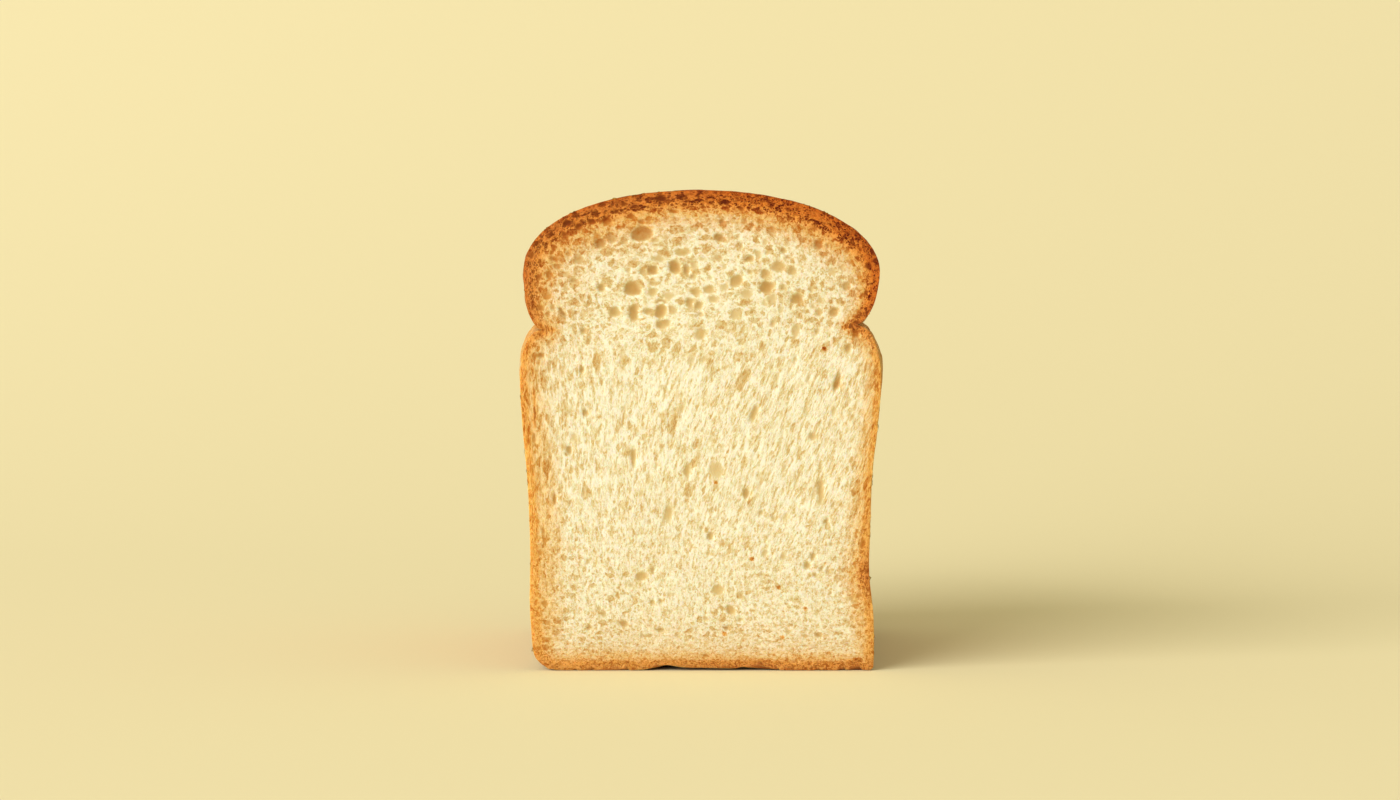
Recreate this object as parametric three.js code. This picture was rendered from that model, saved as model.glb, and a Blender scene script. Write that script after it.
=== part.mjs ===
// Open-top tin loaf of white bread, cut across the middle and standing on its base crust.
//
// Millimetres, +Z up. X runs across the loaf, and Y along it, from the flat cut face (-Y) to the
// baked heel (+Y). The origin is the centre of the footprint, on the surface the loaf stands on.
//
// The dough is baked in a tin and rises over its rim. The tin gives the straight walls and the
// square foot, the rim leaves a fold all round, and above the fold the free crown swells out
// again and domes over. The loaf is one baked solid, so it is one mesh.
import * as THREE from "three";
import { mergeVertices } from "three/addons/utils/BufferGeometryUtils.js";

// Across and along.
const HALF_WIDTH = 50; // centre plane to the tin's wall, which every inset is measured from
const LENGTH = 100; // cut face to heel
const CORNER_RADIUS = 13; // of the tin's corners at the heel, in plan

// Up the loaf.
const RIM_HEIGHT = 95; // base to the tin's rim, where the fold is
const SHOULDER_DROP = 15; // rim down to the widest part below the fold
const CHEEK_RISE = 16; // rim up to the widest part above the fold
const CROWN_RISE = 22.6; // widest part of the crown to the top of the dome

// The dome's end over the heel.
const HEEL_INSET = 36; // cut back of the dome's crest from the heel
const HEEL_ROUNDING = 9; // stretch of the crest that the two top corners round off

// Unevenness, all of it growing from nothing at the cut face.
const GROWTH_LENGTH = 26; // distance from the cut over which it reaches its full size
const CROWN_FALL = 3.5; // how much lower the dome is over the heel than at the cut
const SHOULDER_SWELL = 1.2; // how much fuller the shoulder under the fold is, away from the cut
const FOLD_REACH = 25; // distance above and below the fold that its rise and fall fades over
const FOLD_WAVES = [
  { turns: 2, height: 0.9 },
  { turns: 5, height: 0.5 },
  { turns: 11, height: 0.25 },
];
const SKIN_WAVES = [
  { lengths: [107, 94, 132], height: 0.6 },
  { lengths: [57, -69, 50], height: 0.4 },
];

// The three walls. Insets are from the tin's wall. `wall` is the inset at equal steps from the top
// of the foot's rounding to the widest part below the fold, and the powers are of superellipses.
const LEFT = {
  footRadius: 6.5,
  wall: [2.9, 2.1, 2.4, 2.1, 1.5, 0.3, -0.4],
  fold: 5.6,
  foldRise: 0,
  shoulderPower: 2.3,
  cheek: 0.7,
  cheekPower: 2,
  crownPower: 2.18,
};
const RIGHT = {
  footRadius: 1.6,
  wall: [2.1, 2, 3.6, 3, 2.8, 1.2, 0.1],
  fold: 7,
  foldRise: 1.4,
  shoulderPower: 2.2,
  cheek: 0.7,
  cheekPower: 1.8,
  crownPower: 2.03,
};
const HEEL = {
  footRadius: 5,
  wall: [3.6, 3.1, 3.4, 2.8, 1.8, 0.8, 0],
  fold: 6,
  foldRise: 0.6,
  shoulderPower: 2.3,
  cheek: 1,
  cheekPower: 1.9,
  crownPower: 2.1,
};

// How finely the surface is divided, and how close two of its points are when they are the same.
const STEPS = { foot: 4, wall: 11, shoulder: 6, cheek: 6, crown: 12, side: 16, corner: 7, heel: 7 };
const SAME_POINT = 1e-4;

const BULGE_HEIGHT = RIM_HEIGHT - SHOULDER_DROP;
const CHEEK_HEIGHT = RIM_HEIGHT + CHEEK_RISE;
const CROWN_HEIGHT = CHEEK_HEIGHT + CROWN_RISE;

const { lerp, smoothstep } = THREE.MathUtils;

// A quarter of a superellipse, from its flank (share 0) to its top (share 1), as [across, up].
function quarter(share, power) {
  const turn = (share * Math.PI) / 2;
  return [Math.cos(turn) ** (2 / power), Math.sin(turn) ** (2 / power)];
}

// The foot's rounding, from the base to the wall, as [inset, height] points.
function footPoints({ footRadius, wall }) {
  return Array.from({ length: STEPS.foot + 1 }, (_, i) => {
    const turn = (i / STEPS.foot) * (Math.PI / 2);
    return [wall[0] + footRadius * (1 - Math.sin(turn)), footRadius * (1 - Math.cos(turn))];
  });
}

// The wall above the foot, up to its widest part.
function wallPoints({ footRadius, wall }) {
  const knots = wall.map((inset, i) => {
    return new THREE.Vector2(inset, lerp(footRadius, BULGE_HEIGHT, i / (wall.length - 1)));
  });
  return new THREE.SplineCurve(knots).getPoints(STEPS.wall).slice(1).map((at) => [at.x, at.y]);
}

// The shoulder, from the widest part of the wall in and up to the fold.
function shoulderPoints({ wall, fold, foldRise, shoulderPower }) {
  return Array.from({ length: STEPS.shoulder }, (_, i) => {
    const [across, up] = quarter((i + 1) / STEPS.shoulder, shoulderPower);
    return [lerp(fold, wall.at(-1), across), lerp(BULGE_HEIGHT, RIM_HEIGHT + foldRise, up)];
  });
}

// The cheek, from the fold out and up to the widest part of the crown.
function cheekPoints({ fold, foldRise, cheek, cheekPower }) {
  return Array.from({ length: STEPS.cheek }, (_, i) => {
    const [across, down] = quarter(1 - (i + 1) / STEPS.cheek, cheekPower);
    return [lerp(fold, cheek, across), lerp(CHEEK_HEIGHT, RIM_HEIGHT + foldRise, down)];
  });
}

// The dome, from the widest part of the crown to its crest on the centre plane.
function crownPoints({ cheek, crownPower }) {
  return Array.from({ length: STEPS.crown }, (_, i) => {
    const [across, up] = quarter((i + 1) / STEPS.crown, crownPower);
    const inset = i + 1 === STEPS.crown ? HALF_WIDTH : lerp(HALF_WIDTH, cheek, across);
    return [inset, lerp(CHEEK_HEIGHT, CROWN_HEIGHT, up)];
  });
}

// One wall's whole section, from the middle of the base to the crest.
function section(side) {
  return [
    [HALF_WIDTH, 0],
    ...footPoints(side),
    ...wallPoints(side),
    ...shoulderPoints(side),
    ...cheekPoints(side),
    ...crownPoints(side),
  ];
}

// The plan, a U round the loaf from the cut edge on the left, round the heel, to the cut edge on
// the right. Each stop says which stretch it is on, and how far along that stretch it is.
function planStops() {
  const stretch = (on, steps) => {
    return Array.from({ length: steps }, (_, i) => ({ on, share: i / steps, sign: -1 }));
  };
  const left = [
    ...stretch("side", STEPS.side),
    ...stretch("corner", STEPS.corner),
    ...stretch("heel", STEPS.heel),
  ];
  const right = left.map((stop) => ({ ...stop, sign: 1 })).reverse();
  return [...left, { on: "heel", share: 1, sign: 1 }, ...right];
}

// How far a stop's section is the heel's rather than its own side's.
function heelShare({ on, share }) {
  if (on === "side") return 0;
  return on === "heel" ? 1 : smoothstep(share, 0, 1);
}

// Where a stop is in plan, for a part of the surface at this inset from the tin's walls.
function planPoint({ on, share, sign }, inset) {
  const across = HALF_WIDTH - inset;
  const end = LENGTH - (HEEL_INSET * Math.max(inset, 0)) / HALF_WIDTH;
  const roundness = smoothstep(inset, 0, HALF_WIDTH);
  const cornerAcross = Math.min(across, lerp(CORNER_RADIUS, across, roundness));
  const cornerAlong = lerp(CORNER_RADIUS, HEEL_ROUNDING, roundness);
  if (on === "side") return [sign * across, share * (end - cornerAlong)];
  if (on === "heel") return [sign * (across - cornerAcross) * (1 - share), end];
  const turn = (share * Math.PI) / 2;
  return [
    sign * (across - cornerAcross * (1 - Math.cos(turn))),
    end - cornerAlong * (1 - Math.sin(turn)),
  ];
}

// How far the skin stands out or in at a point, as the sum of a few slow waves.
function skinWave({ x, y, z }) {
  const wave = ({ lengths: [along, back, up], height }) => {
    return height * Math.sin(2 * Math.PI * (x / along + y / back + z / up));
  };
  return SKIN_WAVES.reduce((sum, each) => sum + wave(each), 0);
}

// How far the fold rises or falls at a point, going round the loaf.
function foldWave({ x, y }) {
  const around = Math.atan2(x, y - LENGTH / 2);
  return FOLD_WAVES.reduce((sum, { turns, height }) => sum + height * Math.sin(turns * around), 0);
}

// Makes a point uneven: not at all at the cut face, and only level with itself on the flat base.
function vary(point) {
  const grown = smoothstep(point.y, 0, GROWTH_LENGTH);
  const lifted = smoothstep(point.z, 0, SHOULDER_DROP);
  const atHeel = smoothstep(point.y, LENGTH - CORNER_RADIUS, LENGTH);
  const nearFold = 1 - smoothstep(Math.abs(point.z - RIM_HEIGHT), 0, FOLD_REACH);
  const shoulder = RIM_HEIGHT - SHOULDER_DROP / 2;
  const onShoulder = 1 - smoothstep(Math.abs(point.z - shoulder), 0, SHOULDER_DROP);
  const inCrown = smoothstep(point.z, CHEEK_HEIGHT, CROWN_HEIGHT);
  const wave = grown * skinWave(point);
  const rise = grown * nearFold * foldWave(point);

  point.x *= 1 + (lifted * wave + grown * onShoulder * SHOULDER_SWELL) / HALF_WIDTH;
  point.z += rise + inCrown * (wave - CROWN_FALL * (1 - (1 - point.y / LENGTH) ** 2));
  point.y += lifted * atHeel * wave;
  return point;
}

// The skin: every stop of the plan crossed with every point of the section.
function skinGrid() {
  const left = section(LEFT);
  const right = section(RIGHT);
  const heel = section(HEEL);
  return planStops().map((stop) => {
    const own = stop.sign < 0 ? left : right;
    return own.map(([inset, height], level) => {
      const [heelInset, heelHeight] = heel[level];
      const [x, y] = planPoint(stop, lerp(inset, heelInset, heelShare(stop)));
      return vary(new THREE.Vector3(x, y, lerp(height, heelHeight, heelShare(stop))));
    });
  });
}

// The cut face's outline, up the right side and down the left.
function cutOutline(grid) {
  return [...grid.at(-1), ...grid[0].slice(1, -1).reverse()];
}

// The closed surface: the skin's strips, and the flat cut face.
function loafGeometry() {
  const grid = skinGrid();
  const corners = [];
  const face = (a, b, c) => {
    const edges = [a.distanceTo(b), b.distanceTo(c), c.distanceTo(a)];
    if (Math.min(...edges) > SAME_POINT) corners.push(a, b, c);
  };
  for (const [i, strip] of grid.slice(1).entries()) {
    for (const [j, point] of strip.slice(1).entries()) {
      face(grid[i][j], grid[i][j + 1], point);
      face(grid[i][j], point, strip[j]);
    }
  }
  const outline = cutOutline(grid);
  const flat = outline.map(({ x, z }) => new THREE.Vector2(x, z));
  for (const [a, b, c] of THREE.ShapeUtils.triangulateShape(flat, [])) {
    face(outline[a], outline[b], outline[c]);
  }
  return mergeVertices(new THREE.BufferGeometry().setFromPoints(corners), SAME_POINT);
}

// Moves the loaf so that the origin is the centre of its footprint.
function centreOnFootprint(geometry) {
  geometry.computeBoundingBox();
  const { min, max } = geometry.boundingBox;
  return geometry.translate(-(min.x + max.x) / 2, -(min.y + max.y) / 2, -min.z);
}

const crust = new THREE.MeshStandardMaterial({ color: 0xdc9f55, roughness: 0.85, metalness: 0 });
const loaf = new THREE.Mesh(centreOnFootprint(loafGeometry()), crust);
loaf.geometry.computeVertexNormals();
loaf.name = "loaf";

const tinLoaf = new THREE.Group();
tinLoaf.add(loaf);

export default tinLoaf;
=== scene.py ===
# The looks of an open-top white tin loaf, cut across the middle and standing on its base crust.
# Metres, +Z up, as the solid is: the cut faces -Y and the baked heel +Y. Attributes that the
# bread's material reads are in millimetres.
import math

import bmesh
import bpy
import mathutils.kdtree
import numpy as np
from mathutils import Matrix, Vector, noise


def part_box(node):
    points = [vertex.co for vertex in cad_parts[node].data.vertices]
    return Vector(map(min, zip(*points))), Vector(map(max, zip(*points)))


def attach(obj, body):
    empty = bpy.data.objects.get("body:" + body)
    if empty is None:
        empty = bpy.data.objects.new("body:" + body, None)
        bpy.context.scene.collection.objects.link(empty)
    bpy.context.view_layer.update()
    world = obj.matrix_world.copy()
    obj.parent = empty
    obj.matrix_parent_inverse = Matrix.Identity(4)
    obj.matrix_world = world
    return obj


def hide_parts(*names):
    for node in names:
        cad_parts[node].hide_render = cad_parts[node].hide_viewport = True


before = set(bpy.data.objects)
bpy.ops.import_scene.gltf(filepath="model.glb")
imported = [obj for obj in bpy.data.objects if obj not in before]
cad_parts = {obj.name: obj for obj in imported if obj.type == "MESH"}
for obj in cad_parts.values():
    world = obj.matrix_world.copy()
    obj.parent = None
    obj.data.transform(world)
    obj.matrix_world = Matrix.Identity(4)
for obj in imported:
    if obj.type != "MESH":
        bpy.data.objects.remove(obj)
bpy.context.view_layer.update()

# ------------------------------------------------------------------------------------ camera
# Stands a metre in front of the cut, just above the top of the crown, and looks a little down.
DISTANCE = 1.0
ABOVE_CROWN = 0.008
ASIDE = -0.0004
LOOKS_DOWN = math.radians(3.78)
low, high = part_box("loaf")
camera = bpy.data.objects.new("camera", bpy.data.cameras.new("camera"))
camera.data.lens = 93
camera.location = (ASIDE, low.y - DISTANCE, high.z + ABOVE_CROWN)
camera.rotation_euler = (math.radians(90) - LOOKS_DOWN, 0, 0)
bpy.context.scene.collection.objects.link(camera)
bpy.context.scene.camera = camera

# ------------------------------------------------------------------------------------ the skin
# The baked outside of the loaf: one skin of crust over walls, crown, heel and base, open where
# the knife went. It starts as a copy of the solid's outside and is rounded between its corners.
# Edges that fold inwards by more than the angle stay sharp: the folds under the crown.
FOLD_ANGLE = math.radians(35)
SAME_PLACE = 1e-6
ROUNDING_LEVEL = 2

skin = bmesh.new()
skin.from_mesh(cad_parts["loaf"].data)
bmesh.ops.remove_doubles(skin, verts=skin.verts, dist=SAME_PLACE)
cut_faces = [f for f in skin.faces if all(v.co.y < low.y + SAME_PLACE for v in f.verts)]
bmesh.ops.delete(skin, geom=cut_faces, context="FACES")
bmesh.ops.join_triangles(
    skin, faces=skin.faces, angle_face_threshold=0.6, angle_shape_threshold=1.4
)
crease = skin.edges.layers.float.new("crease_edge")
for edge in skin.edges:
    if edge.is_manifold and edge.calc_face_angle_signed(0) < -FOLD_ANGLE:
        edge[crease] = 1

loaf = bpy.data.objects.new("loaf_bread", bpy.data.meshes.new("loaf_bread"))
bpy.context.scene.collection.objects.link(loaf)
skin.to_mesh(loaf.data)
skin.free()
rounding = loaf.modifiers.new("rounding", "SUBSURF")
rounding.levels = rounding.render_levels = ROUNDING_LEVEL
evaluated = loaf.evaluated_get(bpy.context.evaluated_depsgraph_get())
rounded = bpy.data.meshes.new_from_object(evaluated)
loaf.modifiers.clear()

# ------------------------------------------------------------------------------------ the cut
# The flat face that the knife left, across the whole loaf. It closes the skin's open end, and is
# divided finely enough to carry the holes of the crumb.
CUT_PITCH = 0.0005

bread = bmesh.new()
bread.from_mesh(rounded)
mouth = [e for e in bread.edges if e.is_boundary]
cut = bmesh.ops.holes_fill(bread, edges=mouth, sides=0)["faces"]
for face in cut:
    face.material_index = 1


def slice_evenly(faces, axis):
    """Divides faces by planes a pitch apart along an axis, and returns all the pieces."""
    done = []
    normal = Vector((0, 0, 0))
    normal[axis] = 1
    start = min(v.co[axis] for f in faces for v in f.verts)
    end = max(v.co[axis] for f in faces for v in f.verts)
    for step in range(1, int((end - start) / CUT_PITCH)):
        place = Vector((0, low.y, 0))
        place[axis] = start + step * CUT_PITCH
        parts = {part for f in faces for part in (f, *f.edges, *f.verts)}
        made = bmesh.ops.bisect_plane(
            bread, geom=list(parts), dist=CUT_PITCH / 10, plane_co=place, plane_no=normal
        )
        pieces = [f for f in made["geom"] if isinstance(f, bmesh.types.BMFace)]
        beyond = [f.calc_center_median()[axis] > place[axis] for f in pieces]
        done += [f for f, b in zip(pieces, beyond) if not b]
        faces = [f for f, b in zip(pieces, beyond) if b]
    return done + faces


slice_evenly(slice_evenly(cut, 0), 2)
rim = [e for e in bread.edges if len({f.material_index for f in e.link_faces}) == 2]
edge_line = np.array([[(v.co.x, v.co.z) for v in e.verts] for e in rim]) * 1000
is_cut = np.zeros(len(bread.verts), bool)
is_rim = np.zeros(len(bread.verts), bool)
bread.verts.index_update()
for face in bread.faces:
    if face.material_index == 1:
        for vertex in face.verts:
            is_cut[vertex.index] = True
for edge in rim:
    for vertex in edge.verts:
        is_rim[vertex.index] = True
for face in bread.faces:
    face.material_index = 0
    face.smooth = True
bread.normal_update()
bread.to_mesh(loaf.data)
bread.free()

# ------------------------------------------------------------------------------------ crumb
# The open sponge inside, seen on the cut. Its holes are round in the crown, where the dough rose
# freely, tall and fine in the middle, where the tin held it, and flat close above the base.
spots = np.empty(len(loaf.data.vertices) * 3)
normals = np.empty(len(loaf.data.vertices) * 3)
loaf.data.vertices.foreach_get("co", spots)
loaf.data.vertex_normals.foreach_get("vector", normals)
spots = spots.reshape(-1, 3) * 1000
normals = normals.reshape(-1, 3)


def ease(value, start, end):
    """0 up to start, 1 from end on, and smooth between them."""
    share = np.clip((value - start) / (end - start), 0, 1)
    return share * share * (3 - 2 * share)


def wander(points, length, seed):
    """A smooth random value from -1 to 1 at each point, that changes over about this length."""
    shift = Vector((seed * 17.3, seed * 5.1, seed * 9.7))
    return np.array([noise.noise(Vector(p) / length + shift) for p in points])


def nearest_rim(points):
    """How far each point of the cut is from the crust's edge, and the place on the edge."""
    start, end = edge_line[:, 0], edge_line[:, 1]
    along = end - start
    distances, places = [], []
    for some in np.array_split(points, 60):
        share = ((some[:, None] - start) * along).sum(2) / (along**2).sum(1)
        foot = start + np.clip(share, 0, 1)[..., None] * along
        away = np.linalg.norm(some[:, None] - foot, axis=2)
        best = away.argmin(1)
        distances.append(away[np.arange(len(some)), best])
        places.append(foot[np.arange(len(some)), best])
    return np.concatenate(distances), np.concatenate(places)


# The larger holes: across, up, width, height, depth, and lean to the right in degrees.
HOLES = [
    (-16.3, 121.3, 6.4, 4.4, 2.6, 0), (-16.6, 125, 1.9, 1.7, 1.5, 0),
    (-19.6, 126.2, 3.2, 1.8, 1.4, 0), (-30.3, 124.9, 2.5, 2.4, 1.6, 0),
    (-28, 119, 3.6, 2.8, 2, 0), (-11, 131.3, 3.6, 2.2, 1.6, 0), (6.4, 130.3, 2.8, 1.9, 1.6, 0),
    (0.7, 129, 2.4, 1.4, 1.2, 0), (5.7, 124.9, 2.1, 1.9, 1.6, 0), (5.1, 120.3, 3.6, 2.5, 2, 20),
    (24.8, 125.7, 2.5, 1.4, 1.2, 0), (32.3, 118.5, 2.8, 2.8, 1.8, 0),
    (24.1, 115.1, 2.4, 1.4, 1.4, 0), (21.3, 112.5, 4.4, 3.9, 1.2, 20),
    (13.1, 114.6, 3.2, 2.4, 1.8, -20), (9.9, 108.6, 4.2, 3.4, 1.7, -30),
    (18.1, 106.8, 4.2, 4.2, 2.3, 30), (26.4, 103.6, 3.9, 3.2, 2.1, 0),
    (2.1, 106.1, 3.6, 3, 1.2, 0), (-7.4, 112.1, 3.6, 4.1, 2.2, 0),
    (-4.1, 111.5, 2.1, 3.8, 1.8, 0), (-13.5, 111.5, 3.2, 3.2, 2, 0),
    (-5.3, 116.2, 5, 2.2, 1.2, 5), (-19.1, 106.4, 4.6, 4.4, 2.4, 0),
    (-13.5, 105.4, 3, 3, 1.1, 0), (-27.8, 106.6, 2.8, 2.5, 1.7, 0),
    (-24.1, 99.9, 3.2, 3.5, 1.5, 0), (-18.6, 99.7, 3, 6, 2, 0), (-11.3, 100.1, 3.4, 4.6, 2, 10),
    (-3.2, 102.5, 2.8, 3.2, 1.5, 0), (-0.7, 101.8, 2.4, 2.6, 1.4, 0),
    (-35.4, 108.6, 2.6, 1.8, 1.4, 0), (-34, 114.4, 3, 2.6, 1.1, 0),
    (-40.7, 114.5, 2.8, 1.7, 1.4, 15), (-38.3, 99.7, 1.5, 4.4, 2, -35),
    (-44.3, 87.9, 2.2, 2, 1.6, 0), (-33.2, 83.8, 1.6, 3, 1.6, 15),
    (-32.2, 71.9, 1.8, 2.3, 1.6, 0), (-36.7, 61.5, 1.8, 3.3, 1.7, 0),
    (-18.9, 59.7, 1.9, 6.5, 1.4, 0), (3.9, 56.3, 4.2, 4.6, 0.7, 0),
    (-3.9, 55.8, 2.2, 4.2, 1.3, 5), (12.4, 49.4, 2.5, 3.8, 1.6, 10),
    (14.5, 71.8, 2, 5.5, 1.4, 18), (37.6, 80.3, 2, 5.8, 2.2, 14), (30.8, 65.4, 2.4, 2.6, 1, 10),
    (32.9, 50.5, 2, 7.5, 1.3, 0), (-9.2, 44, 2.6, 6, 1, 12), (40.7, 89.9, 1.8, 2.6, 1.5, 10),
    (-40.7, 48, 1.4, 3.4, 1.6, 0), (-16.6, 26.4, 3.9, 3.2, 1.3, 0),
    (-11.3, 11.4, 3.4, 1.4, 1.7, 4), (-15.4, 9.7, 4.2, 1.1, 1.2, 0),
    (-21.6, 13.1, 2.8, 2, 1.5, 0), (-31.2, 12.1, 2.2, 1.5, 1.5, -15),
    (4.6, 22.7, 3.6, 3.4, 1.1, 0), (8.2, 17, 2.6, 3.4, 1.5, -20), (2.5, 37.6, 2.1, 2.8, 1.5, 0),
    (29.4, 29.3, 2.1, 2.5, 1.6, 25), (33.3, 28.4, 1, 2.5, 1.4, 25), (35, 28.1, 1, 2.5, 1.2, 25),
    (34.7, 41.5, 1.4, 3, 1.5, 5), (32.6, 9.9, 2.6, 1.8, 1.5, 0),
]

crumb = spots[is_cut]
cut_x, _, cut_z = crumb.T
reach, rim_place = nearest_rim(crumb[:, [0, 2]])

# The grain is the crumb's own stretched measure: one unit of it is about a millimetre in a round
# hole. At these heights it runs upwards by so many units in a millimetre.
GRAIN_HEIGHTS = [-5, 8, 16, 34, 50, 84, 100, 140]
GRAIN_UPWARD = [2.0, 1.8, 1.2, 0.9, 0.5, 0.45, 0.9, 1.0]
fine_heights = np.linspace(-5, 140, 600)
step_up = fine_heights[1] - fine_heights[0]
grain_height = np.cumsum(np.interp(fine_heights, GRAIN_HEIGHTS, GRAIN_UPWARD)) * step_up
# Between the base and the crown the holes lean to the right, more so on the right of the loaf.
LEAN = 0.35
MIDDLE_HEIGHT = 60
leaning = ease(fine_heights, 15, 40) * (1 - ease(fine_heights, 85, 105))
drift = LEAN * np.cumsum(leaning) * step_up
drift -= np.interp(MIDDLE_HEIGHT, fine_heights, drift)
drifted = cut_x - ease(cut_x, -40, 20) * np.interp(cut_z, fine_heights, drift)
grain = np.column_stack([drifted, crumb[:, 1], np.interp(cut_z, fine_heights, grain_height)])
# Within this distance of the crust they are squeezed flat against it, and by this much.
SQUEEZED = 5
SQUEEZE = 0.16
inward = (crumb[:, [0, 2]] - rim_place) / np.maximum(reach, 0.01)[:, None]
pulled = SQUEEZE * np.maximum(SQUEEZED - reach, 0) ** 2 / 2
grain[:, [0, 2]] -= inward * pulled[:, None]
warp = np.column_stack([wander(grain, 3, seed) for seed in (1, 2, 3)])
bent = grain + 0.55 * warp

# How far inside the nearest hole's edge each point is (less than 0 outside it), and how deep.
FAR_FROM_HOLES = -2.0
BOWL_POWER = 0.6
hole_edge = np.full(len(crumb), FAR_FROM_HOLES)
hole_depth = np.zeros(len(crumb))
crowd = mathutils.kdtree.KDTree(len(crumb))
for index, place in enumerate(bent):
    crowd.insert((place[0], place[2], 0), index)
crowd.balance()


def open_hole(across, up, radius, depth):
    """Opens a round bubble in the crumb, at a place in the grain."""
    for _, index, away in crowd.find_range((across, up, 0), radius + 1):
        inside = radius - away
        hole_edge[index] = max(hole_edge[index], inside)
        if inside > 0:
            bowl = (1 - (away / radius) ** 2) ** BOWL_POWER
            hole_depth[index] = max(hole_depth[index], depth * bowl)


# The many smaller bubbles: from a height, their number in a square centimetre, and the smallest
# and the largest radius.
BUBBLES = [
    (-5, 3, 0.6, 1.1), (14, 2.5, 0.6, 1.2), (40, 1.5, 0.5, 0.9), (94, 6, 0.8, 1.5),
    (128, 5, 0.6, 1.1),
]
OVERLAP = 0.15
chance = np.random.default_rng(7)
grain_low, grain_high = bent[:, [0, 2]].min(0), bent[:, [0, 2]].max(0)
per_unit = max(count for _, count, _, _ in BUBBLES) / 100
tries = int(np.prod(grain_high - grain_low) * per_unit)
placed = np.zeros((0, 3))
for across, up in chance.uniform(grain_low, grain_high, (tries, 2)):
    real_up = np.interp(up, grain_height, fine_heights)
    _, count, small, large = [zone for zone in BUBBLES if zone[0] <= real_up][-1]
    luck, size = chance.random(2)
    if luck > count / 100 / per_unit:
        continue
    radius = small + (large - small) * size**2
    gaps = np.hypot(placed[:, 0] - across, placed[:, 1] - up) - placed[:, 2] - radius
    if np.any(gaps < -OVERLAP * radius):
        continue
    placed = np.vstack([placed, (across, up, radius)])
    open_hole(across, up, radius, radius * chance.uniform(0.15, 0.5))

# The larger holes are a little squarer than an ellipse, with uneven edges, and shallow.
SQUARENESS = 2.3
SHALLOWNESS = 0.36
bites = wander(grain, 3, 1) + wander(grain, 1.4, 4)
for across, up, width, height, depth, tilt in HOLES:
    turn = math.radians(tilt)
    right, rise = cut_x - across, cut_z - up
    u = (right * math.cos(turn) - rise * math.sin(turn)) / (width / 2)
    v = (right * math.sin(turn) + rise * math.cos(turn)) / (height / 2)
    away = (np.abs(u) ** SQUARENESS + np.abs(v) ** SQUARENESS) ** (1 / SQUARENESS)
    away *= 1 + 0.2 * bites
    inside = (1 - away) * min(width, height) / 2
    bowl = np.clip(1 - away**2, 0, 1) ** BOWL_POWER
    clear = ease(inside, -0.5, -0.1)
    hole_edge = hole_edge * (1 - clear) + inside * clear
    hole_edge = np.maximum(hole_edge, np.maximum(inside, FAR_FROM_HOLES))
    hole_depth = hole_depth * (1 - clear) + SHALLOWNESS * depth * bowl

# How open the finest pores are, at heights up the loaf. The upper left is a little more open.
AIRY = [
    (-5, 0.35), (8, 0.4), (20, 0.45), (40, 0.34), (85, 0.34), (100, 0.9), (125, 0.95), (135, 0.5),
]
airy = np.interp(cut_z + 6 * warp[:, 1], *zip(*AIRY)) + 0.25 * wander(crumb, 9, 8)
airy += 0.2 * ease(-cut_x, 0, 30) * ease(cut_z, 92, 104)

# Crust at the cut's edge: how thick it is, how far its colour fades in, and how dark it is, at
# heights up the left and the right of the loaf.
CRUST_HEIGHTS = [0, 3, 8, 20, 26, 34, 60, 90, 96, 102, 110, 118, 126, 134]
CRUST_THICK = {
    "left": [2.4, 2.8, 2.8, 2.4, 2.2, 2, 1.8, 1.8, 2, 2.8, 3.6, 4, 4.2, 4.2],
    "right": [2.4, 2.4, 2, 2, 3, 2, 1.6, 1.5, 1.8, 2.6, 3.4, 4.4, 4.6, 4.2],
}
CRUST_FADE = {
    "left": [4.5, 6, 7, 8.5, 8.5, 9, 8, 6, 5, 6, 7, 8, 8, 7],
    "right": [4, 5, 5, 6.5, 7, 6, 5, 4, 4, 5, 6, 7, 8, 7],
}
CRUST_DARK = {
    "left": [0.5, 0.3, 0.1, 0, 0, 0, 0, 0.25, 0.55, 0.7, 0.75, 0.75, 0.85, 0.9],
    "right": [0.6, 0.35, 0.15, 0.25, 0.7, 0.3, 0.05, 0.3, 0.8, 1, 1, 1, 1, 1],
}


def up_the_crust(table, across, up):
    """A value of the crust at a place on the edge, from the tables for its left and right."""
    left = np.interp(up, CRUST_HEIGHTS, table["left"])
    right = np.interp(up, CRUST_HEIGHTS, table["right"])
    return left + (right - left) * ease(across, -12, 12)


rim_x, rim_z = rim_place.T
thick = up_the_crust(CRUST_THICK, rim_x, rim_z)
fade = up_the_crust(CRUST_FADE, rim_x, rim_z)
dark = up_the_crust(CRUST_DARK, rim_x, rim_z)
# The crust is scorched at its edge and glows golden inside that, with a faint warmth far in.
uneven = reach + 0.5 * wander(crumb, 3, 5) + 0.35 * wander(crumb, 1.3, 6)
scorch = 1 - ease(uneven, 0.6 * thick, 1.5 * thick)
glow = np.clip(1 - uneven / (thick + fade), 0, 1)
warmth = 0.09 + 0.06 * (ease(cut_z, 95, 115) + 1 - ease(cut_z, 5, 25))
warmth += 0.06 * ease(-cut_x, 0, 30) * ease(cut_z, 92, 104)
bake = 0.5 * scorch + 0.5 * glow + warmth * (1 - ease(reach, 0, 30)) * (1 - glow)
# A few crumbs of crust that the knife dragged in: across and up.
FLECKS = [
    (21.6, 23.2), (28.9, 17.4), (6.4, 10.3), (22.6, 9.4), (3.9, 52.6), (14, 31.3), (34, 89.9),
]
for across, up in FLECKS:
    bake += 0.8 * (1 - ease(np.hypot(cut_x - across, cut_z - up), 0.2, 0.7))
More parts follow.
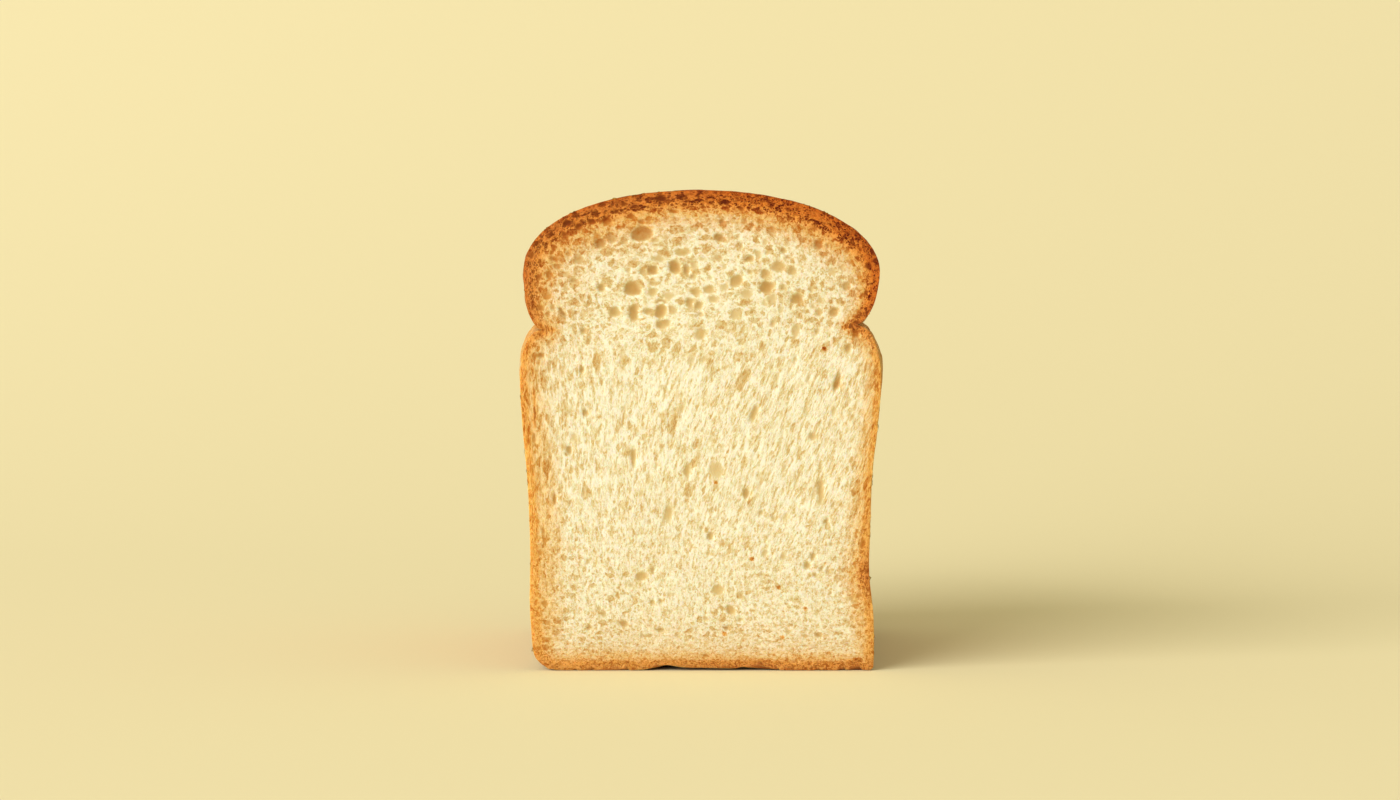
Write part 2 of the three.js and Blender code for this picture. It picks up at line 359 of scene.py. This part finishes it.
# Brown lines, from and to: seams into the crumb where the crown folded over each wall, a painted
# shadow down inside the left wall where the crumb parts from the crust, and a slit at the base's
# right corner.
SEAMS_AND_CRACK_SHADOW = [
    ((-44.6, 95.2), (-40.9, 95)), ((45.4, 96.8), (40, 95.6)), ((-46.8, 84), (-46.1, 68)),
    ((44, 2.6), (41, 2.2)),
]
seam_and_crack_shadow = np.zeros(len(crumb))
for beginning, end in np.array(SEAMS_AND_CRACK_SHADOW):
    run = end - beginning
    share = np.clip((crumb[:, [0, 2]] - beginning) @ run / (run @ run), 0, 1)
    off_line = np.linalg.norm(crumb[:, [0, 2]] - beginning - share[:, None] * run, axis=1)
    seam_and_crack_shadow = np.maximum(seam_and_crack_shadow, 1 - ease(off_line + 0.5 * warp[:, 0] + 0.4 * bites, 0.1, 0.8))
bake += 0.6 * seam_and_crack_shadow
dark = np.maximum(dark, 0.6 * seam_and_crack_shadow)
bake = np.clip(bake, 0, 1)

# The knife tore the crumb rather than shaving it, so the cut isn't quite flat.
torn = 0.14 * wander(bent, 1.3, 7) + 0.25 * wander(crumb, 14, 9)
sink = hole_depth * (1 - 0.5 * bake) + torn
sink *= 0.25 + 0.75 * ease(reach, 0, 1.2)

# ------------------------------------------------------------------------------------ relief
# The crust's own unevenness: blisters and wrinkles on the crown, small pits in the walls, where
# bubbles lay against the tin, and torn shreds along the fold, where the dough burst upwards.
outside = ~is_cut | is_rim
shell = spots[outside]
shell_x, shell_y, shell_z = shell.T
FOLD_HEIGHT = 95
from_cut = shell_y - low.y * 1000
crown = ease(shell_z, FOLD_HEIGHT + 1, FOLD_HEIGHT + 8)
above_base = ease(shell_z, 0.3, 4)
at_fold = np.exp(-(((shell_z - FOLD_HEIGHT) / 7) ** 2))


def cells(points, size):
    """How deep inside its cell of a foam each point is, and a random share for that cell."""
    inside, share = [], []
    for point in points:
        distances, centres = noise.voronoi(Vector(point) / size)
        inside.append(distances[1] - distances[0])
        share.append(noise.cell(centres[0] * 7.31))
    return np.array(inside), np.array(share)


blisters, blister_share = cells(shell, 7)
pits, pit_share = cells(shell + 90, 3.4)
shreds = wander(shell * (1, 1, 0.25), 1.6, 10)
wrinkles = 1 - np.abs(wander(shell * (1, 1, 1.6), 7, 11)) * 2
blistered = ease(blisters, 0, 0.6) * ease(blister_share, 0.5, 0.9)
relief = crown * (0.25 * blistered + 0.22 * wrinkles)
relief -= (1 - crown) * above_base * 0.45 * ease(pits, 0.1, 0.5) * ease(pit_share, 0.62, 0.9)
relief += 0.22 * wander(shell, 5, 12) * above_base + 0.45 * at_fold * shreds
relief *= 0.35 + 0.65 * ease(from_cut, 0, 3)

moved = spots.copy()
moved[outside] += normals[outside] * (relief * above_base)[:, None]
moved[is_cut, 1] += sink


def frayed_out(place):
    """How far the torn edge of the cut stands out of its smooth line, at a place on the edge."""
    low_down = 1 + 0.8 * (1 - ease(place[:, 2], 10, 40))
    return low_down * (0.6 * wander(place, 3.2, 13) + 0.45 * wander(place, 1.1, 14))


# Low arches of the base's edge: across, how high, and how far they reach to each side.
ARCHES = [(2, 0.7, 12), (-10, 1.2, 4.5), (15, 1.2, 4)]


def lifted(place, inside):
    """How far the base's edge arches off the floor, which fades out above it and behind it."""
    across, _, up = place.T
    arch = sum(rise * np.exp(-(((across - middle) / half) ** 2)) for middle, rise, half in ARCHES)
    frayed = 1.8 * np.maximum(0, wander(place * (1, 0, 0), 1.7, 15))
    frayed = frayed + 0.5 * np.maximum(0, wander(place, 5, 16))
    risen = arch + frayed * (1 - ease(inside, 0, 1))
    return risen * (1 - ease(inside, 0, 14)) * (1 - ease(up, 0, 4))


edge_place = np.column_stack([rim_x, np.full(len(rim_x), low.y * 1000), rim_z])
stand_out = frayed_out(edge_place) * (1 - ease(reach, 0, 2.5)) * ease(cut_z, 0.3, 4)
moved[np.ix_(is_cut, (0, 2))] -= inward * stand_out[:, None]
moved[is_cut, 2] += lifted(crumb, np.zeros(len(crumb)))
behind = outside & ~is_rim
edge_near = np.column_stack([shell_x, np.full(len(shell_x), low.y * 1000), shell_z])
near = (frayed_out(edge_near) * (1 - ease(from_cut, 0, 1.5)) * above_base)[~is_rim[outside]]
moved[behind] += normals[behind] * near[:, None]
moved[behind, 2] += lifted(shell, from_cut)[~is_rim[outside]]
loaf.data.vertices.foreach_set("co", (moved / 1000).ravel())
loaf.data.update()


def store(name, on_outside, on_cut):
    """Keeps a value at every point of the bread for its material to read."""
    values = np.zeros(len(spots))
    values[outside] = on_outside
    values[is_cut] = on_cut
    loaf.data.attributes.new(name, "FLOAT", "POINT").data.foreach_set("value", values)


DEEP = 0.8
store("hole", FAR_FROM_HOLES, hole_edge)
store("hollow", 0, np.clip(hole_depth / DEEP, 0, 1))
store("airy", 0, airy)
store("bake", 1, bake)
# How brown the outside is, at heights up the loaf: pale under the fold, dark on the crown.
SKIN_DARK = [(0, 0.8), (8, 0.6), (60, 0.45), (84, 0.15), (95, 0.2), (108, 0.65), (128, 0.95)]
store("dark", np.interp(shell_z, *zip(*SKIN_DARK)), dark)
store("cut", 0, np.where(is_rim[is_cut], 0.5, 1))
grain_everywhere = spots.copy()
grain_everywhere[is_cut] = grain
loaf.data.attributes.new("grain", "FLOAT_VECTOR", "POINT").data.foreach_set(
    "vector", grain_everywhere.ravel()
)

# ------------------------------------------------------------------------------------ bread
# One material for the whole piece: pale sponge on the cut, which browns into crust towards its
# edge, and the crust's own skin outside.


class Wire:
    """An output of a node. Arithmetic on wires adds Math nodes."""

    def __init__(self, tree, socket=None):
        self.tree = tree
        self.socket = socket

    def node(self, kind, settings=None, inputs=None, output=0):
        """Adds a node with these settings and inputs, and returns the output asked for."""
        made = self.tree.nodes.new(kind)
        for name, value in (settings or {}).items():
            if name == "stops":
                while len(made.color_ramp.elements) < len(value):
                    made.color_ramp.elements.new(0.5)
                for element, (position, shade) in zip(made.color_ramp.elements, value):
                    element.position = position
                    element.color = shade
            else:
                setattr(made, name, value)
        for name, value in (inputs or {}).items():
            if isinstance(value, Wire):
                self.tree.links.new(value.socket, made.inputs[name])
            else:
                made.inputs[name].default_value = value
        return Wire(self.tree, made.outputs[output])

    def math(self, operation, *values):
        return self.node("ShaderNodeMath", {"operation": operation}, dict(enumerate(values)))

    def __add__(self, other):
        return self.math("ADD", self, other)

    def __sub__(self, other):
        return self.math("SUBTRACT", self, other)

    def __rsub__(self, other):
        return self.math("SUBTRACT", other, self)

    def __mul__(self, other):
        return self.math("MULTIPLY", self, other)

    __radd__ = __add__
    __rmul__ = __mul__

    def between(self, start, end):
        """0 up to start, 1 from end on, and smooth between them."""
        settings = {"interpolation_type": "SMOOTHSTEP"}
        return self.node("ShaderNodeMapRange", settings, {0: self, 1: start, 2: end})

    def ramp(self, *stops):
        return self.node("ShaderNodeValToRGB", {"stops": stops}, {0: self})

    def towards(self, other, share, blend="MIX"):
        """This colour, mixed with another by a share."""
        settings = {"data_type": "RGBA", "blend_type": blend}
        return self.node("ShaderNodeMix", settings, {"Factor": share, 6: self, 7: other}, output=2)


def tint(red, green, blue):
    """A colour written as the eye sees it, 0 to 255, as the light that it reflects."""
    parts = [c / 255 for c in (red, green, blue)]
    return (*[c / 12.92 if c < 0.04045 else ((c + 0.055) / 1.055) ** 2.4 for c in parts], 1)


material = bpy.data.materials.new("bread")
material.use_nodes = True
surface = material.node_tree.nodes["Principled BSDF"]
links = material.node_tree.links
graph = Wire(material.node_tree)


def held(name, output=2):
    return graph.node("ShaderNodeAttribute", {"attribute_name": name}, output=output)


grain_wire = held("grain", output=1)
hole_wire, hollow_wire, airy_wire, bake_wire, dark_wire, cut_wire = (
    held(name) for name in ("hole", "hollow", "airy", "bake", "dark", "cut")
)


def speckle(size, detail=2, where=grain_wire, output=0):
    """Random patches of about this size in millimetres."""
    inputs = {"Vector": where, "Scale": 1 / size, "Detail": detail, "Roughness": 0.6}
    return graph.node("ShaderNodeTexNoise", {"noise_dimensions": "3D"}, inputs, output)


def along(where, other, operation, amount=1.0):
    """A place moved or stretched by another vector."""
    settings = {"operation": operation}
    inputs = {0: where, 1: other}
    if operation == "MULTIPLY_ADD":
        inputs = {0: other, 1: (amount,) * 3, 2: where}
    return graph.node("ShaderNodeVectorMath", settings, inputs)


def foam(size, where):
    """Cells of about this size in millimetres: how deep each place is in its cell, from 0 at the
    wall to 1 well inside, and a random share that stays the same all over a cell."""
    inputs = {"Vector": where, "Scale": 1 / size, "Randomness": 1}
    edge = graph.node("ShaderNodeTexVoronoi", {"feature": "DISTANCE_TO_EDGE"}, inputs)
    luck = graph.node("ShaderNodeTexVoronoi", {"feature": "F1"}, inputs, output=1)
    return edge.between(0.03, 0.24), graph.node("ShaderNodeSeparateColor", None, {0: luck})


def strands(size, where, thin):
    """Bright threads that curl round places of about this size in millimetres."""
    middle = speckle(size, 2, where) - 0.5
    return 1 - middle.math("ABSOLUTE", middle).between(0, thin)


# The crumb's walls and threads, pulled about so that no two cells look alike.
loose = along(grain_wire, speckle(1.4, output=1), "MULTIPLY_ADD", 1.2)
tangled = along(loose, speckle(0.6, output=1), "MULTIPLY_ADD", 0.5)
wide, wide_luck = foam(2.8, tangled)
narrow, narrow_luck = foam(1.3, tangled)
net = strands(1.6, along(loose, (1.0, 1.0, 0.6), "MULTIPLY"), 0.07)
fine_net = strands(0.8, along(loose, (31.0, 17.0, 5.0), "ADD"), 0.09)
threads = net.math("MAXIMUM", net, fine_net * 0.85)

# Soft shade between the threads: patches and streaks, and in the calm middle slanting strokes.
patches = speckle(1.0, 2, tangled)
streaks = speckle(2.6, 3, along(loose, (1.0, 1.0, 0.7), "MULTIPLY"))
strokes = speckle(0.85, 2, along(grain_wire, (1.0, 1.0, 0.5), "MULTIPLY"))
calm = 1 - airy_wire.between(0.45, 0.8)
patchy = patches.between(0.4, 0.7) * (0.28 - calm * 0.14)
gloom = 0.2 + streaks.between(0.42, 0.68) * 0.22 + patchy
gloom = gloom + strokes.between(0.48, 0.66) * calm * 0.42

# How hollow each place looks, from 0 on a thread to 1 at the bottom of a deep hole. The colour
# below paints shade by it.
wide_pores = wide * (wide_luck + airy_wire * 0.9 - 0.95).between(0, 0.35)
narrow_pores = narrow * (narrow_luck + airy_wire * 0.5 - 0.75).between(0, 0.3) * 0.85
pores = wide_pores.math("MAXIMUM", wide_pores, narrow_pores) * (patches * 1.2 + 0.3)
opened = (hole_wire + (speckle(1.0, 3) - 0.5) * 1.8).between(-0.3, 0.6)
sponge = gloom.math("MAXIMUM", gloom, pores) - threads * 0.42
hollow = sponge + (hollow_wire * 0.62 + 0.4 - sponge) * opened

# The crumb's colour darkens with how hollow a place looks: painted shade in the pores and holes,
# and a painted highlight on the threads.
crumb_colour_and_painted_light = hollow.ramp(
    (0, tint(227, 223, 204)), (0.2, tint(220, 210, 178)), (0.45, tint(209, 191, 146)),
    (0.7, tint(199, 170, 114)), (1, tint(186, 146, 86)),
)

# The crust's browning, laid over the crumb's colour: gold at the walls, brown at the crown, and on
# each the crust's own fine foam, with a painted highlight on its walls and painted shade in its
# pits.
toast = bake_wire + (speckle(0.8) - 0.5) * 0.3 + (speckle(3) - 0.5) * 0.2
white = (1, 1, 1, 1)
gold_lit_wall = toast.ramp(
    (0.05, white), (0.25, tint(250, 230, 196)), (0.5, tint(249, 217, 166)),
    (0.8, tint(251, 206, 130)),
)
gold_shaded_pit = toast.ramp(
    (0.05, white), (0.3, tint(240, 200, 146)), (0.55, tint(242, 190, 120)),
    (0.8, tint(236, 168, 88)),
)
brown_lit_wall = toast.ramp(
    (0.05, white), (0.3, tint(244, 208, 150)), (0.5, tint(246, 186, 112)),
    (0.7, tint(244, 168, 88)), (0.85, tint(238, 152, 66)), (1, tint(212, 118, 42)),
)
brown_shaded_pit = toast.ramp(
    (0.05, white), (0.3, tint(236, 172, 100)), (0.5, tint(196, 108, 40)), (0.8, tint(120, 44, 6)),
)
crust_lit_wall = gold_lit_wall.towards(brown_lit_wall, dark_wire)
crust_shaded_pit = gold_shaded_pit.towards(brown_shaded_pit, dark_wire)
crust_foam, crust_luck = foam(0.8, tangled)
crust_pores = crust_foam * (crust_luck * 1.8 - 0.5)
crust_hollow = crust_pores.math("MAXIMUM", hollow * 0.8, crust_pores)
# Painted shade in the crust's pits and a painted highlight on its pore walls.
crust_tint_and_painted_light = crust_lit_wall.towards(crust_shaded_pit, crust_hollow.between(0.05, 0.75))
browned = crumb_colour_and_painted_light.towards(crust_tint_and_painted_light, 1.0, "MULTIPLY")

# The outside: mottled and freckled, with pinholes where small bubbles burst, painted darker as
# painted shade in them, and fine wrinkles where it is dark, their ridges painted a little lighter
# as a painted highlight.
metres = graph.node("ShaderNodeTexCoord", output=3)
millimetres = graph.node("ShaderNodeVectorMath", {"operation": "SCALE"}, {0: metres, "Scale": 1000})
mottle = speckle(9, 4, millimetres)
freckle = speckle(1.6, 3, millimetres)
skin_pores, skin_luck = foam(1.7, along(millimetres, speckle(2, output=1), "MULTIPLY_ADD", 1.5))
pinholes = skin_pores * (skin_luck - 0.62).between(0, 0.3)
wrinkled = strands(4, millimetres, 0.06) * dark_wire
uneven_shade = (mottle - 0.5) * 0.6 + (freckle - 0.5) * 0.4
# The pinholes add painted shade and the wrinkle ridges a painted highlight to the skin's colour.
skin_shade = dark_wire + uneven_shade + pinholes * 0.18 - wrinkled * 0.08
skin_colour = skin_shade.ramp(
    (0, tint(200, 152, 90)), (0.25, tint(184, 130, 68)), (0.5, tint(164, 98, 44)),
    (0.8, tint(132, 68, 28)), (1, tint(100, 48, 22)),
)
colour = skin_colour.towards(browned, cut_wire)
links.new(colour.socket, surface.inputs["Base Color"])

# Dry and matt, with a slight sheen on the dark crust, and a little light that passes through.
rough = 0.9 - (1 - cut_wire) * dark_wire * 0.35
links.new(rough.socket, surface.inputs["Roughness"])
crumb_height = threads * 0.03 - hollow * 0.1
skin_height = freckle * 0.35 + mottle * 0.5 - pinholes * 0.25 + wrinkled * 0.1
height = crumb_height * cut_wire + skin_height * (1 - cut_wire)
bump = graph.node(
    "ShaderNodeBump", inputs={"Strength": 0.8, "Distance": 0.001, "Height": height}
)
links.new(bump.socket, surface.inputs["Normal"])
surface.inputs["Specular IOR Level"].default_value = 0.15
surface.inputs["Subsurface Weight"].default_value = 0.6
surface.inputs["Subsurface Radius"].default_value = (1, 0.6, 0.3)
surface.inputs["Subsurface Scale"].default_value = 0.003
loaf.data.materials.append(material)

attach(loaf, "root")
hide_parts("loaf")

# ------------------------------------------------------------------------------------ floor
# A wide sheet of pale yellow card that lies flat round the loaf and rises gently far from it.
FLAT_TO = 0.22
SWEEP = 0.17
sheet = bmesh.new()
bmesh.ops.create_grid(sheet, x_segments=10, y_segments=160, size=4)
for vertex in sheet.verts:
    vertex.co.z = SWEEP * max(0, vertex.co.y - FLAT_TO) ** 2
floor = bpy.data.objects.new("floor", bpy.data.meshes.new("floor"))
sheet.to_mesh(floor.data)
sheet.free()
for face in floor.data.polygons:
    face.use_smooth = True
bpy.context.scene.collection.objects.link(floor)
card = bpy.data.materials.new("card")
card.use_nodes = True
card_surface = card.node_tree.nodes["Principled BSDF"]
card_surface.inputs["Base Color"].default_value = (0.80, 0.70, 0.42, 1)
card_surface.inputs["Roughness"].default_value = 0.95
floor.data.materials.append(card)

# ------------------------------------------------------------------------------------ light
# One large soft light from the front left, and the pale room all round.
key = bpy.data.objects.new("key", bpy.data.lights.new("key", "AREA"))
key.data.shape = "RECTANGLE"
key.data.size = 7.4
key.data.size_y = 6.2
key.data.energy = 860
azimuth, elevation, distance = math.radians(42), math.radians(24), 8
key.location = (
    -distance * math.cos(azimuth) * math.cos(elevation),
    -distance * math.sin(azimuth) * math.cos(elevation),
    distance * math.sin(elevation),
)
key.rotation_euler = (-key.location).to_track_quat("-Z", "Y").to_euler()
bpy.context.scene.collection.objects.link(key)
world = bpy.data.worlds.new("room")
world.use_nodes = True
background = world.node_tree.nodes["Background"]
background.inputs["Color"].default_value = (1, 0.95, 0.70, 1)
background.inputs["Strength"].default_value = 0.58
bpy.context.scene.world = world
bpy.context.scene.view_settings.view_transform = "Standard"
